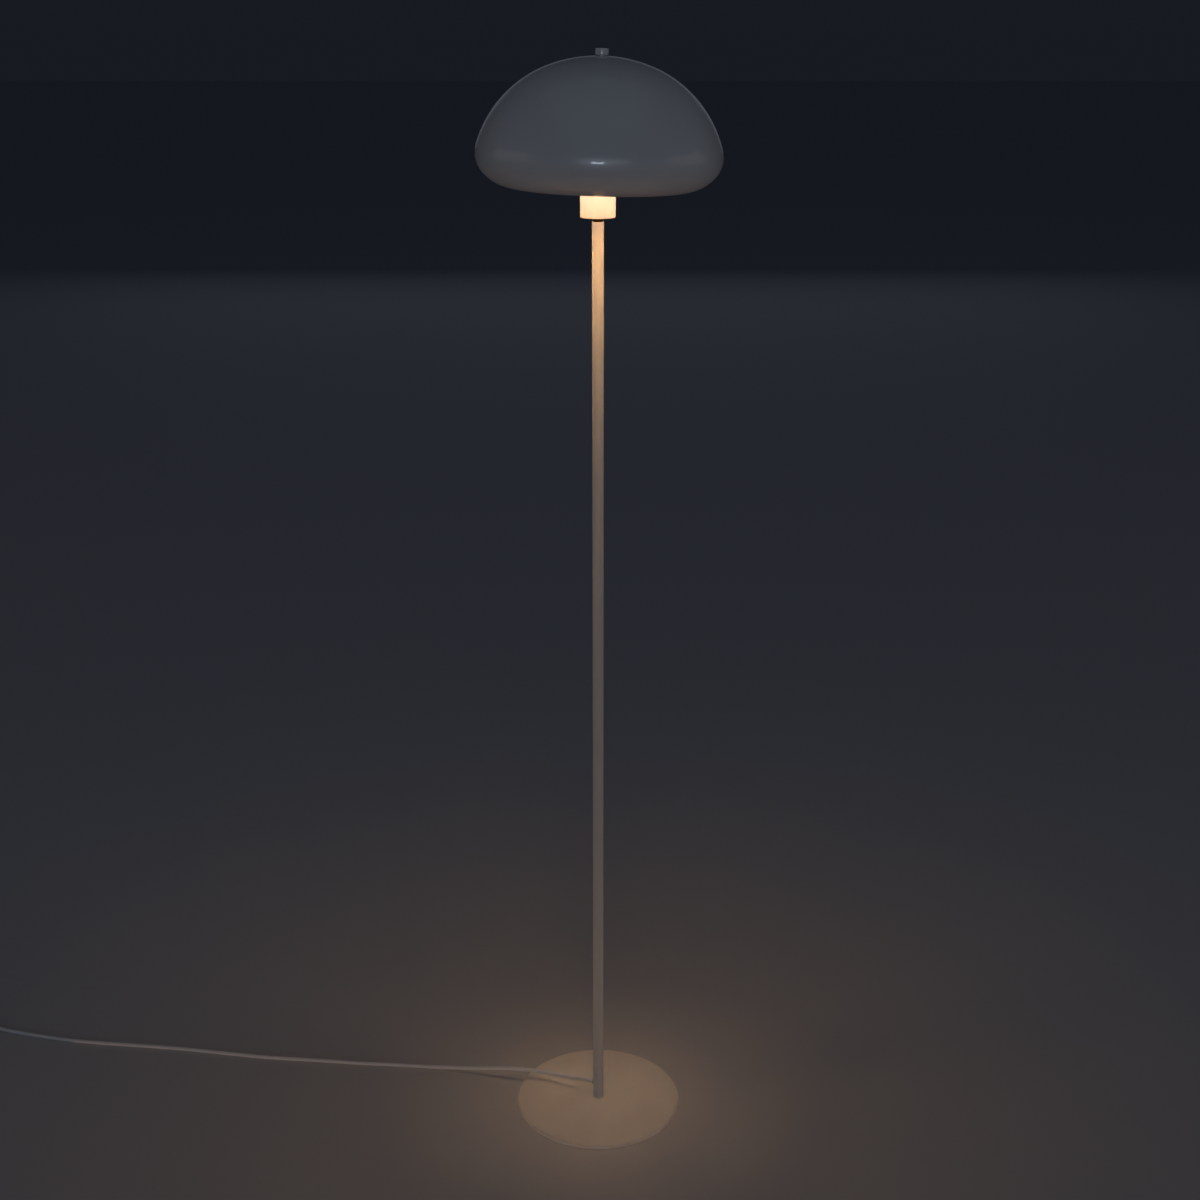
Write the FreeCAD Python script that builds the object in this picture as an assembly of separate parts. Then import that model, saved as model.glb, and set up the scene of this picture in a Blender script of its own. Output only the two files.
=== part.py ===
import FreeCAD, Part
import math
import os

# Mushroom floor lamp: a heavy steel disc, one straight tube, an opal glass cylinder round a small
# bulb, and a spun steel dome shade that a knob holds on top. The shade hangs on a carrier that
# turns in a hollow ball swivel, and it leans a little to its right, as the real one stands.
#
# Millimetres. The origin is on the floor in the middle of the base, +Z is up, -Y is the front.

V = FreeCAD.Vector
UP = V(0, 0, 1)
ACROSS = V(0, 1, 0)

# ---- driving dimensions -------------------------------------------------------------------------

fit_gap = 0.05          # play between a piece and the bore or seat that holds it
turn_gap = 0.3          # play between pieces that move past each other
floor_gap = 0.1         # what lies on the floor beside the lamp stays this clear of it

foam_radius = 112.0     # self-adhesive foam disc under the base
foam_thickness = 1.5

base_radius = 120.0     # steel disc
base_thickness = 6.0
base_top_round = 1.2
base_bottom_round = 0.6

screw_radius = 3.95     # M8 countersunk screw up into the pole's foot
screw_head_radius = 8.0
screw_length = 22.0
screw_inset = 0.2
screw_play = 0.35       # round the screw in the base's hole
socket_across = 5.0     # hexagon socket in the screw's head
socket_depth = 3.0

pole_radius = 7.5       # steel tube, 15 mm
pole_wall = 1.2
pole_length = 1287.0
foot_length = 19.0      # threaded plug in the tube's lower end
foot_chamfer = 0.8

cord_radius = 2.75      # round two-core mains cord
exit_height = 23.5      # height of the cord's hole above the base
exit_angle = 150.0      # the hole looks left and a little to the back
grommet_wall = 0.9      # rubber between the cord and the tube's hole
grommet_flange = 1.0    # how far the lip reaches past the hole
grommet_lip = 1.0       # how far the lip stands off the tube
grommet_reach = 4.4     # the neck's inner end, from the pole's axis
sheath_end = 3.5        # where the cord's sheath is stripped, from the pole's axis

wire_radius = 0.95      # the cord's two cores, run up inside the tube
wire_offset = 1.2
wire_bend = 4.0

neck_radius = 6.7       # turned neck between tube and glass
neck_height = 4.7
neck_plug_length = 15.0
nipple_radius = 5.0     # M10 hollow threaded nipple
nipple_bore = 3.4
nipple_below = 12.0     # how far it reaches down into the neck's plug
gasket = 0.8            # silicone discs under and over the glass's floor
upper_gasket_radius = 13.0
washer_radius = 12.0
washer_thickness = 1.0
nut_across = 14.0       # flat M10 hexagon nuts
nut_thickness = 3.0

glass_radius = 22.25    # opal glass cylinder, open at its top
glass_wall = 2.0
glass_floor = 3.5
glass_height = 128.0
glass_edge = 0.9
glass_inner_round = 1.5
glass_play = 0.3        # round the nipple in the glass's hole

ball_radius = 7.6       # hollow ball swivel on the nipple
ball_bore = 3.1
ball_flat = 5.7         # the ball is cut flat this far below its middle
cup_floor = 2.4
cup_wall = 1.35
cup_way = 2.0           # the cup's passage for the cores is this much wider than the ball's
ring_wall = 1.2         # clamping ring screwed over the cup
ring_rise = 4.6         # its top above the ball's middle
ring_height = 7.0
stem_radius = 4.6       # the ball's stem below its flange
stem_height = 13.5      # from the ball's middle to the flange
flange_radius = 7.6
flange_thickness = 2.0
stub_gap = 0.7          # the thread above the flange ends this far under the contact block

carrier_strip = 1.2     # bent steel strip that carries the shade past the bulb
carrier_width = 8.0
carrier_inner = 14.0    # half the clear space between its arms
carrier_foot_radius = 9.5
carrier_height = 151.0  # from its foot to its top strip
carrier_bend = 3.0

holder_radius = 12.0    # slim holder for a small-screw bulb
holder_wall = 1.4
holder_floor = 3.0
holder_height = 35.0
holder_core_height = 7.0
core_lid = 3.0
sleeve_play = 0.35      # between the bulb's cap and the threaded brass sleeve
sleeve_wall = 0.4
sleeve_height = 20.0
spring_contact = 2.2    # radius of the middle contact
spring_contact_height = 1.6

bulb_cap_radius = 7.0   # tubular bulb, 25 mm
bulb_cap_length = 21.0
bulb_tip_radius = 2.6
bulb_tip_height = 2.0
bulb_radius = 12.5
bulb_wall = 1.0
bulb_length = 58.0
bulb_shoulder = 9.0

lean = 1.6              # degrees that the carrier and shade lean to the right

stud_radius = 2.95      # M6 stud from the carrier up through shade and knob
stud_head_radius = 6.0
stud_head = 2.0
seat_height = 6.9       # from the stud's shoulder to the seat's crown
seat_radius = 15.0      # dished disc under the crown of the shade
seat_thickness = 1.6
seat_boss_radius = 5.0
shade_hole_play = 0.45  # round the stud in the shade's hole

# The shade's outline, from the middle of its crown outwards and down: arcs that run into each
# other, each with its radius and the angle it turns through. Together they turn by 180 degrees.
shade_wall = 0.8
crown_radius = 180.0
crown_sweep = 22.0
shoulder_radius = 146.0
shoulder_sweep = 51.4
belly_radius = 35.0
belly_sweep = 58.2
under_radius = 54.0
under_sweep = 48.4
rim_roll = 1.6          # radius of the rolled edge round the opening

knob_radius = 8.2
knob_height = 7.4
knob_foot_radius = 6.6
knob_foot_height = 0.9
knob_hole_depth = 5.0
knob_edge = 0.5

switch_axis_height = 8.0

# The cord's free route, chosen by hand: left off the base, along the floor, to the foot switch.
exit_z = foam_thickness + base_thickness + exit_height
lying = cord_radius + floor_gap
route_to_switch = [
    (-3.03, 1.75, exit_z), (-17, 9.81, exit_z), (-43, 25, 22.8), (-78, 42, 19.2),
    (-124, 55, 17.6), (-178, 67, 10), (-240, 79, lying), (-305, 85.5, lying),
    (-372, 90.5, lying), (-440, 98.5, lying), (-508, 104.5, lying), (-576, 115.5, lying),
    (-645, 128, lying), (-714, 137, lying), (-783, 144.5, lying), (-852, 154.5, lying),
    (-906, 168, lying), (-952, 181, lying), (-996, 192.2, switch_axis_height),
    (-1040, 202.5, switch_axis_height),
]

switch_length = 78.0    # foot switch in the cord
switch_width = 38.0
switch_height = 21.0
switch_split = 10.0     # height of the seam between its two shells
switch_wall = 2.2
switch_corner = 16.0
switch_top_round = 9.0
switch_bottom_round = 2.0
switch_feet_height = 1.0
switch_foot_radius = 4.0
switch_foot_x = 24.0
switch_foot_y = 10.0
cord_inside = 4.0       # how far the cord reaches into the switch's case
boot_length = 20.0      # tapered sleeves where the cord enters the switch
boot_wall = 1.85
boot_tip_wall = 0.75
boot_run = 45.0         # straight run of cord out of the switch, up to its next bend
button_length = 36.0
button_width = 24.0
button_proud = 4.0
button_travel = 3.0
button_skirt = 5.0
button_round = 3.5
core_length = 26.0      # contact block inside
core_width = 16.0
core_height = 6.5
core_plunger = 2.5
case_screw_radius = 1.4
case_screw_head = 2.6
case_screw_head_height = 1.0
case_screw_bite = 3.0   # how far the screws reach into the cover
case_screw_x = 30.0
case_post = 3.8         # radius of the posts that the screws' heads draw up
case_post_height = 3.0

tie_width = 6.0         # soft strap round the coil
tie_thickness = 0.9
tie_angle = 20.0

# The rest of the cord is put away in a round coil: in along the floor, one layer up, out again.
coil_turns = 6
coil_turn_gap = 0.6     # between turns side by side
coil_layer_gap = 0.5    # between the two layers
coil_least_radius = 21.9
coil_ease = 0.6         # radians over which the spiral eases from in to out
wound = floor_gap + tie_thickness + turn_gap + cord_radius  # a strap passes under the coil
route_to_coil = [
    (-1194.3, 213.3, 5.4), (-1213.4, 182.8, wound), (-1214.4, 152.8, wound),
]

tail_runs = (16.0, 24.0, 26.0, 24.0)    # from the coil to the plug
tail_turn = 7.0         # degrees between the last three of them
plug_boot_length = 24.0
plug_cord_depth = 6.0   # how far the cord reaches into the plug's boot
plug_boot_wall = 1.65
plug_boot_tip_wall = 0.65
plug_length = 36.0
plug_width = 35.0
plug_height = 13.6
plug_back_width = 11.0
plug_corner = 4.0
plug_edge = 2.0
plug_round = 8.0
pin_radius = 2.0
pin_length = 19.0
pin_spacing = 18.6
pin_root = 8.0          # how deep the pins sit in the plug
sleeve_length = 10.0
sleeve_thickness = 0.6
ring_count = 4          # grooves round the plug's boot
groove_wall = 0.35      # what a groove leaves round the cord

# ---- heights that follow ------------------------------------------------------------------------

base_bottom = foam_thickness
base_top = base_bottom + base_thickness
pole_top = base_top + pole_length
pole_bore = pole_radius - pole_wall
neck_top = pole_top + neck_height
glass_bottom = neck_top + gasket
glass_inside = glass_bottom + glass_floor
nut_bottom = glass_inside + gasket + washer_thickness
nut_top = nut_bottom + nut_thickness
nipple_top = nut_top + cup_floor - turn_gap
pivot = V(0, 0, nut_top + cup_floor + ball_radius)
cup_radius = ball_radius + turn_gap + cup_wall
flange_top = pivot.z + stem_height
plate_top = flange_top + carrier_strip
holder_bottom = plate_top + nut_thickness
core_bottom = holder_bottom + holder_floor
core_top = core_bottom + holder_core_height
bulb_bottom = core_top + spring_contact_height
sleeve_radius = bulb_cap_radius + sleeve_play + sleeve_wall
carrier_top = flange_top + carrier_height
crown_height = carrier_top + stud_head + seat_height + turn_gap + shade_wall
screw_hole_radius = screw_radius + screw_play
grommet_neck_radius = cord_radius + fit_gap + grommet_wall
grommet_lip_radius = grommet_neck_radius + grommet_flange
seat_top_radius = crown_radius - shade_wall - turn_gap
exit_way = V(math.cos(math.radians(exit_angle)), math.sin(math.radians(exit_angle)), 0)

# ---- small helpers ------------------------------------------------------------------------------


def ring(outer, inner, low, high):
    """A plain turned ring or, with no inner radius, a disc or rod."""
    body = Part.makeCylinder(outer, high - low, V(0, 0, low))
    if inner:
        body = body.cut(Part.makeCylinder(inner, high - low, V(0, 0, low)))
    return body


def hexagon(across, low, high):
    corner = across / math.sqrt(3)
    angles = [math.radians(60 * k) for k in range(7)]
    outline = Part.makePolygon([V(corner * math.cos(a), corner * math.sin(a), low) for a in angles])
    return Part.Face(outline).extrude(V(0, 0, high - low))


def outline(corners, place):
    """A closed wire through corners (a, b, rounding); place turns (a, b) into a point in space."""
    points = [V(c[0], c[1], 0) for c in corners]
    rounding = [c[2] if len(c) > 2 else 0 for c in corners]
    ends = []
    for k, here in enumerate(points):
        back = points[k - 1] - here
        ahead = points[(k + 1) % len(points)] - here
        half = back.getAngle(ahead) / 2
        reach = min(rounding[k] / math.tan(half), 0.45 * back.Length, 0.45 * ahead.Length)
        radius = reach * math.tan(half)
        back.normalize()
        ahead.normalize()
        middle = back + ahead
        if reach > 0:
            middle.normalize()
        inwards = math.hypot(radius, reach) - radius
        ends.append((here + back * reach, here + middle * inwards, here + ahead * reach, reach > 0))
    edges = []
    for k, (start, middle, end, rounded) in enumerate(ends):
        if rounded:
            edges.append(Part.Arc(place(start), place(middle), place(end)).toShape())
        onward = ends[(k + 1) % len(ends)][0]
        if (onward - end).Length > 1e-6:
            edges.append(Part.LineSegment(place(end), place(onward)).toShape())
    return Part.Wire(edges)


def turned(corners):
    """A solid turned about the Z axis; corners are (radius, height, rounding)."""
    wire = outline(corners, lambda p: V(p.x, 0, p.y))
    return Part.Face(wire).revolve(V(0, 0, 0), UP, 360)


def slab(corners, low, high):
    """An upright slab with its outline, (x, y, rounding), seen from above."""
    return Part.Face(outline(corners, lambda p: V(p.x, p.y, low))).extrude(V(0, 0, high - low))


def side_slab(corners, half_width):
    """A slab with its outline, (x, z, rounding), seen from the front."""
    face = Part.Face(outline(corners, lambda p: V(p.x, -half_width, p.y)))
    return face.extrude(V(0, 2 * half_width, 0))


def box_outline(length, width, corner):
    x = length / 2
    y = width / 2
    return [(-x, -y, corner), (x, -y, corner), (x, y, corner), (-x, y, corner)]


def leaning(shape):
    """Turns a piece on the carrier about the ball's middle, from level to its lean."""
    turned_shape = shape.copy()
    turned_shape.rotate(pivot, ACROSS, lean)
    return turned_shape


def placed(shape, corner, heading):
    """Puts a piece made along +X at the origin where it lies, turned to its heading in degrees."""
    there = shape.copy()
    there.rotate(V(0, 0, 0), UP, heading)
    there.translate(corner)
    return there


def swept(edges, start, way, radius):
    """A round tube along tangent edges."""
    circle = Part.Wire([Part.Circle(start, way, radius).toShape()])
    return Part.Wire(edges).makePipeShell([circle], True, False)


def bend_radius(short_run, turn):
    return 0.45 * short_run / math.tan(turn / 2)


def routed(name, points, radius, least_bend=None):
    """A tube along straight runs joined by tangent arcs, as large as the runs beside them allow."""
    points = [V(*p) for p in points]
    edges = []
    length = 0.0
    here = points[0]
    bends = []
    for before, corner, after in zip(points, points[1:], points[2:]):
        back = before - corner
        ahead = after - corner
        turn = math.pi - back.getAngle(ahead)
        bend = least_bend or bend_radius(min(back.Length, ahead.Length), turn)
        reach = bend * math.tan(turn / 2)
        bends.append(bend)
        back.normalize()
        ahead.normalize()
        start = corner + back * reach
        end = corner + ahead * reach
        inward = back + ahead
        inward.normalize()
        middle = corner + inward * (math.hypot(bend, reach) - bend)
        edges.append(Part.LineSegment(here, start).toShape())
        edges.append(Part.Arc(start, middle, end).toShape())
        length += (start - here).Length + bend * turn
        here = end
    edges.append(Part.LineSegment(here, points[-1]).toShape())
    length += (points[-1] - here).Length
    solid = swept(edges, points[0], points[1] - points[0], radius)
    share = solid.Volume / (math.pi * radius**2 * length)
    print(name, "length", round(length, 1), "volume over section times length", round(share, 5))
    print(name, "bend radii", [round(b) for b in bends])
    return solid


def halved(start, corner, end):
    """The middle of the arc that touches start-corner and corner-end."""
    middle = (start + end) * 0.5
    half = (corner - start).getAngle(end - corner) / 2
    return middle + (corner - middle) * (math.cos(half) / (1 + math.cos(half)))


def biarc(start, way, end, end_way):
    """Two arcs that run into each other, from start along way to end along end_way."""
    chord = end - start
    both = chord.dot(way + end_way)
    same = 2 * (1 - way.dot(end_way))
    if same < 1e-9:
        reach = chord.dot(chord) / (4 * chord.dot(end_way))
    else:
        reach = (math.sqrt(both**2 + same * chord.dot(chord)) - both) / same
    first = start + way * reach
    second = end - end_way * reach
    joint = (first + second) * 0.5
    return [
        Part.Arc(start, halved(start, first, joint), joint).toShape(),
        Part.Arc(joint, halved(joint, second, end), end).toShape(),
    ]


# ---- base and pole ------------------------------------------------------------------------------


def base_foam():
    return ring(foam_radius, 0, 0, foam_thickness)


def base_plate():
    sink = screw_head_radius + screw_inset + fit_gap * math.sqrt(2)
    return turned([
        (screw_hole_radius, base_top),
        (base_radius, base_top, base_top_round),
        (base_radius, base_bottom, base_bottom_round),
        (sink, base_bottom),
        (screw_hole_radius, base_bottom + sink - screw_hole_radius),
    ])


def base_screw():
    low = base_bottom + screw_inset
    screw = turned([
        (0, low),
        (screw_head_radius, low),
        (screw_radius, low + screw_head_radius - screw_radius),
        (screw_radius, low + screw_length, 0.5),
        (0, low + screw_length),
    ])
    return screw.cut(hexagon(socket_across, low, low + socket_depth))


def pole_foot():
    outer = pole_bore - fit_gap
    inner = screw_radius + fit_gap
    top = base_top + foot_length
    return turned([
        (inner, base_top), (outer, base_top), (outer, top, foot_chamfer), (inner, top),
    ])


def along_exit(radius, start, end):
    return Part.makeCylinder(radius, end - start, exit_way * start + V(0, 0, exit_z), exit_way)


def pole_tube():
    tube = ring(pole_radius, pole_bore, base_top, pole_top)
    return tube.cut(along_exit(grommet_neck_radius + fit_gap, 0, pole_radius + 1))


def cord_grommet():
    face = pole_radius + grommet_lip
    lip = along_exit(grommet_lip_radius, 0, face)
    room = grommet_lip_radius + 1
    lip = lip.cut(ring(pole_radius + fit_gap, 0, exit_z - room, exit_z + room))
    body = lip.fuse(along_exit(grommet_neck_radius, grommet_reach, face)).removeSplitter()
    return body.cut(along_exit(cord_radius + fit_gap, grommet_reach - 1, face + 1))


def pole_wires():
    """The two cores, from the stripped sheath round a bend and straight up to the swivel."""
    wires = []
    side = UP.cross(exit_way)
    top = nipple_top - turn_gap
    for sign in (-1, 1):
        shift = side * (sign * wire_offset)
        start = exit_way * (sheath_end - fit_gap) + V(0, 0, exit_z) + shift
        corner = shift + V(0, 0, exit_z)
        end = shift + V(0, 0, top)
        wires.append(routed("pole_wires", [start, corner, end], wire_radius, wire_bend * 0.7))
    return wires


def pole_neck():
    inner = nipple_radius + fit_gap
    plug = pole_bore - fit_gap
    low = pole_top - neck_plug_length
    return turned([
        (inner, low), (plug, low, foot_chamfer), (plug, pole_top), (neck_radius, pole_top),
        (neck_radius, neck_top, 0.4), (inner, neck_top),
    ])


def hollow_nipple():
    return ring(nipple_radius, nipple_bore, pole_top - nipple_below, nipple_top)


# ---- glass and what clamps it -------------------------------------------------------------------


def glass_gaskets():
    inner = nipple_radius + fit_gap
    return [
        ring(neck_radius, inner, neck_top, glass_bottom),
        ring(upper_gasket_radius, inner, glass_inside, glass_inside + gasket),
    ]


def diffuser_glass():
    hole = nipple_radius + glass_play
    bore = glass_radius - glass_wall
    top = glass_bottom + glass_height
    return turned([
        (hole, glass_bottom), (glass_radius, glass_bottom, glass_edge),
        (glass_radius, top, glass_edge), (bore, top, glass_edge),
        (bore, glass_inside, glass_inner_round), (hole, glass_inside),
    ])


def glass_washer():
    low = glass_inside + gasket
    return ring(washer_radius, nipple_radius + fit_gap, low, low + washer_thickness)


def flat_nut(low):
    nut = hexagon(nut_across, low, low + nut_thickness)
    return nut.cut(ring(nipple_radius + fit_gap, 0, low, low + nut_thickness))


def glass_nut():
    return flat_nut(nut_bottom)


# ---- hollow ball swivel -------------------------------------------------------------------------


def ball_hollow():
    return Part.makeSphere(ball_radius + turn_gap, pivot)


def swivel_cup():
    """Screwed on the nipple; its upper half is the ball's socket."""
    low = nut_top
    cup = ring(cup_radius, 0, low, pivot.z).cut(ball_hollow())
    cup = cup.cut(ring(nipple_radius + fit_gap, 0, low, low + cup_floor))
    return cup.cut(ring(ball_bore + cup_way, 0, low + cup_floor, pivot.z))


def swivel_ring():
    """Screwed over the cup; its lip closes in over the ball."""
    top = pivot.z + ring_rise
    outer = cup_radius + fit_gap + ring_wall
    skirt = ring(outer, cup_radius + fit_gap, top - ring_height, top)
    body = skirt.fuse(ring(outer, 0, pivot.z, top)).removeSplitter().cut(ball_hollow())
    return body.cut(ring(math.sqrt((ball_radius + turn_gap)**2 - ring_rise**2), 0, pivot.z, top))


def swivel_ball():
    """Ball, stem, flange and thread in one, bored through for the two cores."""
    thread_top = core_top - core_lid - stub_gap
    ball = Part.makeSphere(ball_radius, pivot)
    ball = ball.cut(ring(ball_radius, 0, pivot.z - ball_radius, pivot.z - ball_flat))
    stem = ring(stem_radius, 0, pivot.z, flange_top)
    flange = ring(flange_radius, 0, flange_top - flange_thickness, flange_top)
    thread = ring(nipple_radius, 0, flange_top, thread_top)
    body = ball.fuse([stem, flange, thread]).removeSplitter()
    return leaning(body.cut(ring(ball_bore, 0, pivot.z - ball_radius, thread_top)))


# ---- carrier, holder and bulb -------------------------------------------------------------------


def carrier_frame():
    """A steel strip bent to a tall loop: a round foot on the flange, two arms, a bridge."""
    outer = carrier_inner + carrier_strip
    top = carrier_top
    loop = outline(
        [(-outer, flange_top, carrier_bend), (outer, flange_top, carrier_bend),
         (outer, top, carrier_bend), (-outer, top, carrier_bend)],
        lambda p: V(-carrier_width / 2, p.x, p.y),
    )
    inside = outline(
        [(-carrier_inner, plate_top, carrier_bend - carrier_strip),
         (carrier_inner, plate_top, carrier_bend - carrier_strip),
         (carrier_inner, top - carrier_strip, carrier_bend - carrier_strip),
         (-carrier_inner, top - carrier_strip, carrier_bend - carrier_strip)],
        lambda p: V(-carrier_width / 2, p.x, p.y),
    )
    strip = Part.Face(loop).extrude(V(carrier_width, 0, 0))
    strip = strip.cut(Part.Face(inside).extrude(V(carrier_width, 0, 0)))
    strip = strip.fuse(ring(carrier_foot_radius, 0, flange_top, plate_top)).removeSplitter()
    strip = strip.cut(ring(nipple_radius + fit_gap, 0, flange_top, plate_top))
    strip = strip.cut(ring(stud_radius + fit_gap, 0, top - carrier_strip, top))
    return leaning(strip)


def carrier_nut():
    return leaning(flat_nut(plate_top))


def lamp_holder():
    low = holder_bottom
    bore = holder_radius - holder_wall
    return leaning(turned([
        (nipple_radius + fit_gap, low), (holder_radius, low, 2.0),
        (holder_radius, low + holder_height, 0.6), (bore, low + holder_height),
        (bore, low + holder_floor), (nipple_radius + fit_gap, low + holder_floor),
    ]))


def holder_core():
    """The insulating block that holds the contacts, on the holder's floor."""
    outer = holder_radius - holder_wall - fit_gap
    body = ring(outer, nipple_radius + fit_gap, core_bottom, core_top)
    lid = ring(outer, 0, core_top - core_lid, core_top)
    return leaning(body.fuse(lid).removeSplitter())


def middle_contact():
    return leaning(ring(spring_contact, 0, core_top, bulb_bottom))


def holder_sleeve():
    return leaning(ring(sleeve_radius, sleeve_radius - sleeve_wall, core_top,
                        core_top + sleeve_height))


def holder_leads():
    """The cores' upper ends, from the swivel through the ball up to the contact block."""
    side = UP.cross(exit_way)
    leads = []
    for sign in (-1, 1):
        lead = ring(wire_radius, 0, nipple_top, core_top - core_lid)
        lead.translate(side * (sign * wire_offset))
        leads.append(leaning(lead))
    return leads


def bulb_cap():
    low = bulb_bottom + bulb_tip_height
    return leaning(turned([
        (0, bulb_bottom), (bulb_tip_radius, bulb_bottom), (bulb_cap_radius, low),
        (bulb_cap_radius, low + bulb_cap_length), (0, low + bulb_cap_length),
    ]))


def bulb_globe():
    low = bulb_bottom + bulb_tip_height + bulb_cap_length
    high = low + bulb_length
    shoulder = low + bulb_shoulder
    inner = bulb_radius - bulb_wall
    throat = bulb_cap_radius - bulb_wall
    return leaning(turned([
        (throat, low), (bulb_cap_radius, low), (bulb_radius, shoulder, 4.0),
        (bulb_radius, high, 9.0), (0, high), (0, high - bulb_wall),
        (inner, high - bulb_wall, 8.0), (inner, shoulder, 3.0),
    ]))


def carrier_stud():
    """A stud riveted in the carrier's bridge, with a shoulder for the shade's seat."""
    head = ring(stud_head_radius, 0, carrier_top, carrier_top + stud_head)
    thread = ring(stud_radius, 0, carrier_top - carrier_strip, crown_height + knob_hole_depth)
    return leaning(head.fuse(thread).removeSplitter())


def shade_seat():
    """A dished disc on the stud's shoulder; its top follows the inside of the crown."""
    centre = crown_height - crown_radius
    edge = centre + math.sqrt(seat_top_radius**2 - seat_radius**2)
    hole = stud_radius + fit_gap
    start = V(hole, 0, centre + math.sqrt(seat_top_radius**2 - hole**2))
    half = math.asin(seat_radius / seat_top_radius) / 2
    middle = V(seat_top_radius * math.sin(half), 0, centre + seat_top_radius * math.cos(half))
    rim = V(seat_radius, 0, edge)
    under = edge - seat_thickness
    low = carrier_top + stud_head
    points = [rim, V(seat_radius, 0, under), V(seat_boss_radius, 0, under),
              V(seat_boss_radius, 0, low), V(hole, 0, low), start]
    edges = [Part.Arc(start, middle, rim).toShape()]
    edges += [Part.LineSegment(a, b).toShape() for a, b in zip(points, points[1:])]
    return leaning(Part.Face(Part.Wire(edges)).revolve(V(0, 0, 0), UP, 360))


# ---- shade and knob -----------------------------------------------------------------------------


def shade_arcs():
    return [(crown_radius, crown_sweep), (shoulder_radius, shoulder_sweep),
            (belly_radius, belly_sweep), (under_radius, under_sweep)]


def shade_line(inset, short_by=0.0):
    """The shade's outline, moved inwards by inset, as arcs in the plane y = 0, and its end. The last
    arc may stop some radians short."""
    here = V(0, 0, crown_height)
    heading = 0.0
    edges = []
    arcs = shade_arcs()
    for k, (radius, sweep) in enumerate(arcs):
        centre = here - V(math.sin(heading), 0, math.cos(heading)) * radius

        def at(angle):
            return centre + V(math.sin(angle), 0, math.cos(angle)) * (radius - inset)

        turn = math.radians(sweep)
        drawn = turn - short_by if k == len(arcs) - 1 else turn
        edges.append(Part.Arc(at(heading), at(heading + drawn / 2), at(heading + drawn)).toShape())
        end = at(heading + drawn)
        here = centre + V(math.sin(heading + turn), 0, math.cos(heading + turn)) * radius
        heading += turn
    return edges, end


def shade():
    """The wall in section, turned once: its edge runs on into a round bead that closes on it."""
    outside, outer_end = shade_line(0)
    rise = shade_wall * (2 * under_radius - shade_wall) / (2 * (under_radius - rim_roll))
    reach = math.sqrt(rise * (2 * rim_roll - rise))
    inside, meeting = shade_line(shade_wall, math.asin(reach / (under_radius - shade_wall)))
    bead_middle = outer_end + V(0, 0, rim_roll)
    halfway = (math.atan2(rise - rim_roll, reach) - 2.5 * math.pi) / 2
    far_side = bead_middle + V(math.cos(halfway), 0, math.sin(halfway)) * rim_roll
    bead = Part.Arc(outer_end, far_side, meeting).toShape()
    crown = Part.LineSegment(V(0, 0, crown_height), V(0, 0, crown_height - shade_wall)).toShape()
    wall = Part.Face(Part.Wire(outside + [bead] + inside[::-1] + [crown]))
    shell = wall.revolve(V(0, 0, 0), UP, 360)
    box = shell.optimalBoundingBox(False)
    print("shade radius", round(box.XMax, 1), "height", round(box.ZLength, 1), "opening radius",
          round(bead_middle.x - rim_roll, 1))
    hole = stud_radius + shade_hole_play
    return leaning(shell.cut(ring(hole, 0, crown_height - hole, crown_height + hole)))


def finial_knob():
    low = crown_height + turn_gap
    seam = low + knob_foot_height
    high = seam + knob_height
    knob = turned([
        (0, low), (knob_foot_radius, low), (knob_foot_radius, seam), (knob_radius, seam, knob_edge),
        (knob_radius, high, knob_edge), (0, high),
    ])
    return leaning(knob.cut(ring(stud_radius + fit_gap, 0, low, low + knob_hole_depth)))


# ---- cord and foot switch -----------------------------------------------------------------------

cord_end = V(*route_to_switch[-1])
switch_heading = math.degrees(math.atan2(route_to_switch[-1][1] - route_to_switch[-2][1],
                                         route_to_switch[-1][0] - route_to_switch[-2][0]))
switch_way = V(math.cos(math.radians(switch_heading)), math.sin(math.radians(switch_heading)), 0)
switch_middle = cord_end + switch_way * (switch_length / 2 - cord_inside)
switch_foot = V(switch_middle.x, switch_middle.y, floor_gap)
second_start = cord_end + switch_way * (switch_length - 2 * cord_inside)


def cord_to_switch():
    return routed("cord_to_switch", route_to_switch, cord_radius)


def switch_block(inset):
    """The switch's whole outside, or its inside when inset by the wall."""
    low = switch_feet_height + inset
    high = switch_height - inset
    length = switch_length - 2 * inset
    plan = slab(box_outline(length, switch_width - 2 * inset, switch_corner - inset), low, high)
    x = length / 2
    side = side_slab([(-x, low, switch_bottom_round), (x, low, switch_bottom_round),
                      (x, high, switch_top_round), (-x, high, switch_top_round)], switch_width)
    return plan.common(side)


def cord_ways():
    """The holes for the cord through both ends of the case."""
    return Part.makeCylinder(cord_radius + fit_gap, switch_length + 10,
                             V(-switch_length / 2 - 5, 0, switch_axis_height - floor_gap), V(1, 0, 0))


def button_shape(grow, low, high):
    return slab(box_outline(button_length + 2 * grow, button_width + 2 * grow,
                            button_width / 2 + grow - 0.1), low, high)


def case_screw_places():
    return [V(-case_screw_x, 0, 0), V(case_screw_x, 0, 0)]


def in_place(shape):
    return placed(shape, switch_foot, switch_heading)


def switch_base():
    case = switch_block(0).cut(switch_block(switch_wall)).cut(cord_ways())
    case = case.common(ring(switch_length, 0, 0, switch_split))
    low = switch_feet_height
    for place in case_screw_places():
        post = ring(case_post, 0, low + 1, low + case_post_height)
        hole = ring(case_screw_radius + fit_gap, 0, 0, switch_split)
        head = ring(case_screw_head + fit_gap, 0, 0, low + case_screw_head_height)
        for shape in (post, hole, head):
            shape.translate(place)
        case = case.fuse(post).cut(hole).cut(head)
    return in_place(case)


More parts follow.
